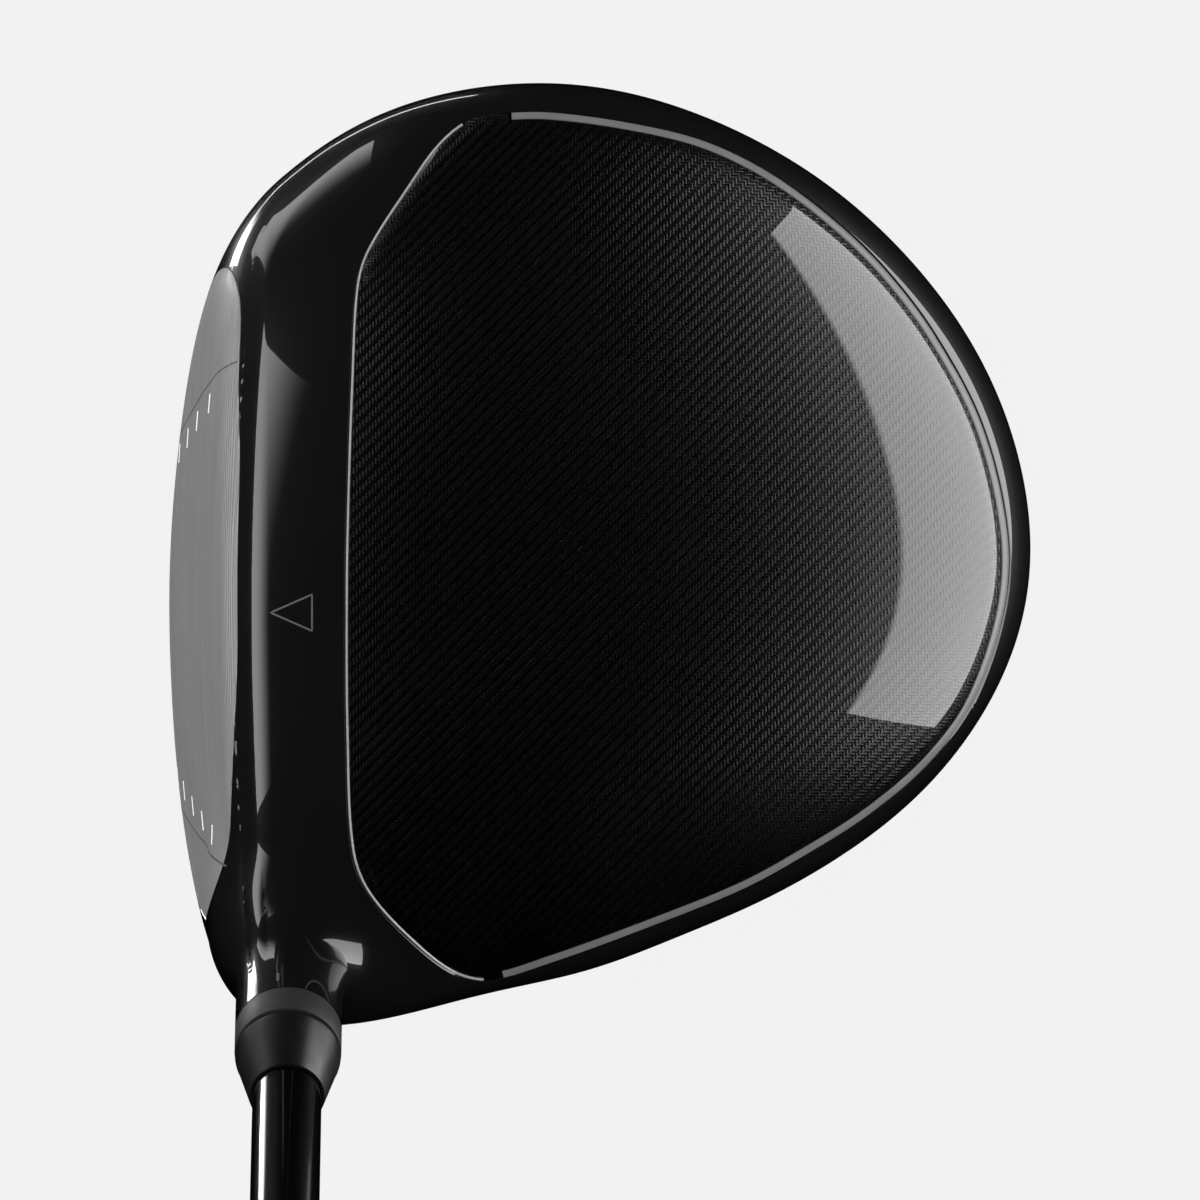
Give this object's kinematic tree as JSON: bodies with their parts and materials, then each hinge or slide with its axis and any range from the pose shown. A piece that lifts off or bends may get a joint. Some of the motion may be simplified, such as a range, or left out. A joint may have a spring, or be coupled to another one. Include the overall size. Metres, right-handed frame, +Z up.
{
  "type": "golf driver",
  "caption": "Golf driver with a hollow rounded head, carbon crown panel, adjustable hosel, rear sole weight, tapered shaft and rubber grip.",
  "frame": {"origin": "centre of the grip's butt face, on the shaft's axis", "axes": "+Z up with the club at address on level ground, +Y from heel to toe, +X from the face to the back of the head (the face looks along -X)"},
  "size_m": [0.1152, 0.7105, 0.9868],
  "materials": {
    "gloss_black": "gloss black paint over a cast metal shell",
    "face_metal": "satin grey, finely milled",
    "carbon": "clear-coated fine twill carbon laminate",
    "trim_grey": "matt mid grey",
    "bright_metal": "bright thin bead",
    "steel": "plain machined steel",
    "dark_alloy": "matt dark grey anodised",
    "dark_plastic": "matt black plastic",
    "shaft_black": "gloss black paint over a carbon laminate tube",
    "tape": "double-sided paper tape",
    "black_rubber": "matt moulded rubber with fine grooves"
  },
  "bodies": {
    "head": {"head_body": "gloss_black", "face_plate": "face_metal", "crown_panel": "carbon", "crown_trim_band": "trim_grey", "crown_front_bead": "bright_metal", "sole_panel_toe": "carbon", "sole_panel_heel": "carbon", "bolt_washer": "steel", "bolt_retainer": "dark_plastic"},
    "hosel_bolt": {"hosel_bolt": "steel"},
    "adapter_ring": {"adapter_ring": "dark_alloy"},
    "shaft_assembly": {"adapter_sleeve": "dark_alloy", "ferrule": "dark_plastic", "shaft": "shaft_black", "shaft_tip_plug": "dark_plastic", "grip_tape": "tape", "grip": "black_rubber", "grip_cap": "black_rubber"},
    "rear_weight": {"rear_weight": "steel"},
    "rear_weight_screw": {"rear_weight_screw": "steel"}
  },
  "joints": [
    {"name": "hosel_bolt_turn", "type": "hinge", "parent": "head", "child": "hosel_bolt", "pos_m": [0, 0.60278, -0.96466], "axis": [0, -0.5299, 0.848], "continuous": true},
    {"name": "shaft_pull", "type": "slide", "parent": "head", "child": "adapter_ring", "axis": [0, -0.5299, 0.848], "range_m": [0, 0.045]},
    {"name": "sleeve_index", "type": "hinge", "parent": "adapter_ring", "child": "shaft_assembly", "pos_m": [0, 0.57242, -0.91606], "axis": [0, -0.5299, 0.848], "continuous": true},
    {"name": "rear_weight_backout", "type": "slide", "parent": "head", "child": "rear_weight", "axis": [0.3998, -0.0221, -0.9163], "range_m": [0, 0.0076]},
    {"name": "rear_weight_screw_turn", "type": "hinge", "parent": "rear_weight", "child": "rear_weight_screw", "pos_m": [0.0816, 0.63209, -0.9723], "axis": [0.3998, -0.0221, -0.9163], "range_deg": [0, 3425]}
  ],
  "couplings": [
    {"joint": "rear_weight_screw_turn", "follows": "rear_weight_backout", "rad_per_m": 7854}
  ]
}
